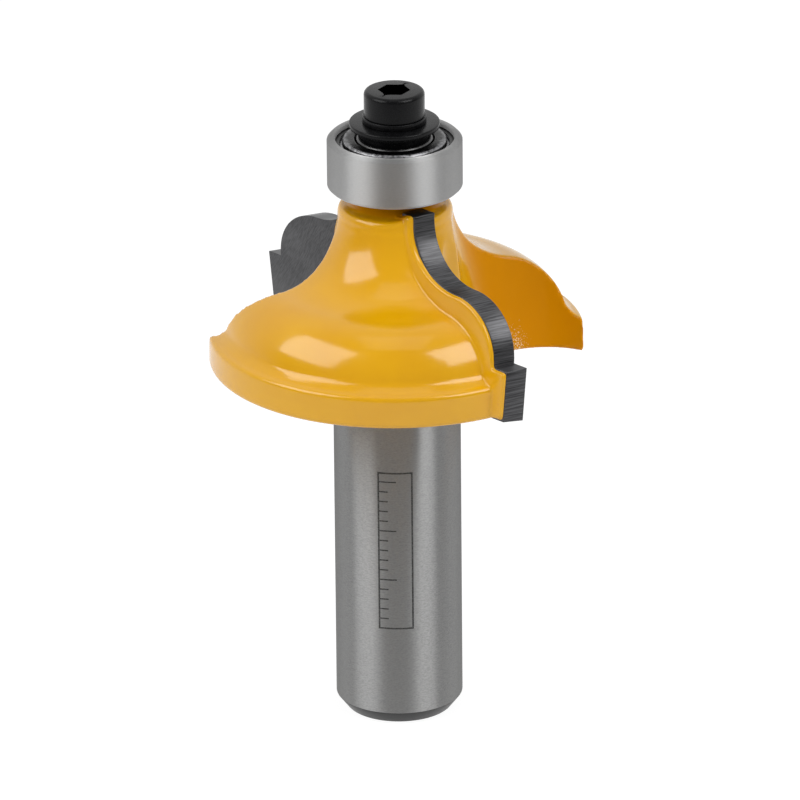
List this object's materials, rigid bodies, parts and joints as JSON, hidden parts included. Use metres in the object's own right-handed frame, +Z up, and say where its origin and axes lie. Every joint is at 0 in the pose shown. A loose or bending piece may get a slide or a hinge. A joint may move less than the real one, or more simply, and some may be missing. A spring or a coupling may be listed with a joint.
{
  "type": "router bit",
  "caption": "Ogee edge-forming router bit with two brazed carbide tips, a painted steel head, a straight round shank and a ball-bearing guide held on top by a cap screw.",
  "frame": {"origin": "centre of the shank's end face, on which the bit stands", "axes": "+Z runs up the axis of rotation from the shank's end to the cap screw; the two carbide tips lie on the X axis"},
  "size_m": [0.0382, 0.0352, 0.0623],
  "materials": {
    "painted_head_and_shank": "yellow gloss enamel on the formed head, bare ground steel on the shank",
    "carbide": "ground dark grey tungsten carbide",
    "bearing_steel": "ground satin bearing steel",
    "polished_ball": "polished ball steel",
    "cage_plastic": "moulded natural nylon",
    "pressed_steel": "bright pressed sheet steel",
    "black_oxide": "black oxide on steel, slightly oily sheen"
  },
  "bodies": {
    "cutter": {"cutter_body": "painted_head_and_shank", "carbide_tip_1": "carbide", "carbide_tip_2": "carbide", "bearing_inner_ring": "bearing_steel", "spacer_ring": "black_oxide", "dust_shield_washer": "black_oxide", "lock_ring": "black_oxide", "cap_screw": "black_oxide"},
    "outer_race": {"bearing_outer_ring": "bearing_steel", "bearing_shield_top": "pressed_steel", "bearing_shield_bottom": "pressed_steel", "shield_snap_ring_top": "pressed_steel", "shield_snap_ring_bottom": "pressed_steel"},
    "ball_cage": {"ball_cage": "cage_plastic"},
    "ball_1": {"bearing_ball_1": "polished_ball"},
    "ball_2": {"bearing_ball_2": "polished_ball"},
    "ball_3": {"bearing_ball_3": "polished_ball"},
    "ball_4": {"bearing_ball_4": "polished_ball"},
    "ball_5": {"bearing_ball_5": "polished_ball"},
    "ball_6": {"bearing_ball_6": "polished_ball"},
    "ball_7": {"bearing_ball_7": "polished_ball"}
  },
  "joints": [
    {"name": "bearing_spin", "type": "hinge", "parent": "cutter", "child": "outer_race", "pos_m": [0, 0, 0.05517], "axis": [0, 0, 1], "continuous": true},
    {"name": "cage_spin", "type": "hinge", "parent": "cutter", "child": "ball_cage", "pos_m": [0, 0, 0.05517], "axis": [0, 0, 1], "continuous": true},
    {"name": "ball_1_spin", "type": "hinge", "parent": "ball_cage", "child": "ball_1", "pos_m": [0.00437, 0, 0.05517], "axis": [0, 0, 1], "continuous": true},
    {"name": "ball_2_spin", "type": "hinge", "parent": "ball_cage", "child": "ball_2", "pos_m": [0.00272, 0.00341, 0.05517], "axis": [0, 0, 1], "continuous": true},
    {"name": "ball_3_spin", "type": "hinge", "parent": "ball_cage", "child": "ball_3", "pos_m": [-0.00097, 0.00426, 0.05517], "axis": [0, 0, 1], "continuous": true},
    {"name": "ball_4_spin", "type": "hinge", "parent": "ball_cage", "child": "ball_4", "pos_m": [-0.00393, 0.00189, 0.05517], "axis": [0, 0, 1], "continuous": true},
    {"name": "ball_5_spin", "type": "hinge", "parent": "ball_cage", "child": "ball_5", "pos_m": [-0.00393, -0.00189, 0.05517], "axis": [0, 0, 1], "continuous": true},
    {"name": "ball_6_spin", "type": "hinge", "parent": "ball_cage", "child": "ball_6", "pos_m": [-0.00097, -0.00426, 0.05517], "axis": [0, 0, 1], "continuous": true},
    {"name": "ball_7_spin", "type": "hinge", "parent": "ball_cage", "child": "ball_7", "pos_m": [0.00272, -0.00341, 0.05517], "axis": [0, 0, 1], "continuous": true}
  ],
  "couplings": [
    {"joint": "cage_spin", "follows": "bearing_spin", "ratio": 0.63636},
    {"joint": "ball_1_spin", "follows": "bearing_spin", "ratio": 1.697},
    {"joint": "ball_2_spin", "follows": "bearing_spin", "ratio": 1.697},
    {"joint": "ball_3_spin", "follows": "bearing_spin", "ratio": 1.697},
    {"joint": "ball_4_spin", "follows": "bearing_spin", "ratio": 1.697},
    {"joint": "ball_5_spin", "follows": "bearing_spin", "ratio": 1.697},
    {"joint": "ball_6_spin", "follows": "bearing_spin", "ratio": 1.697},
    {"joint": "ball_7_spin", "follows": "bearing_spin", "ratio": 1.697}
  ]
}
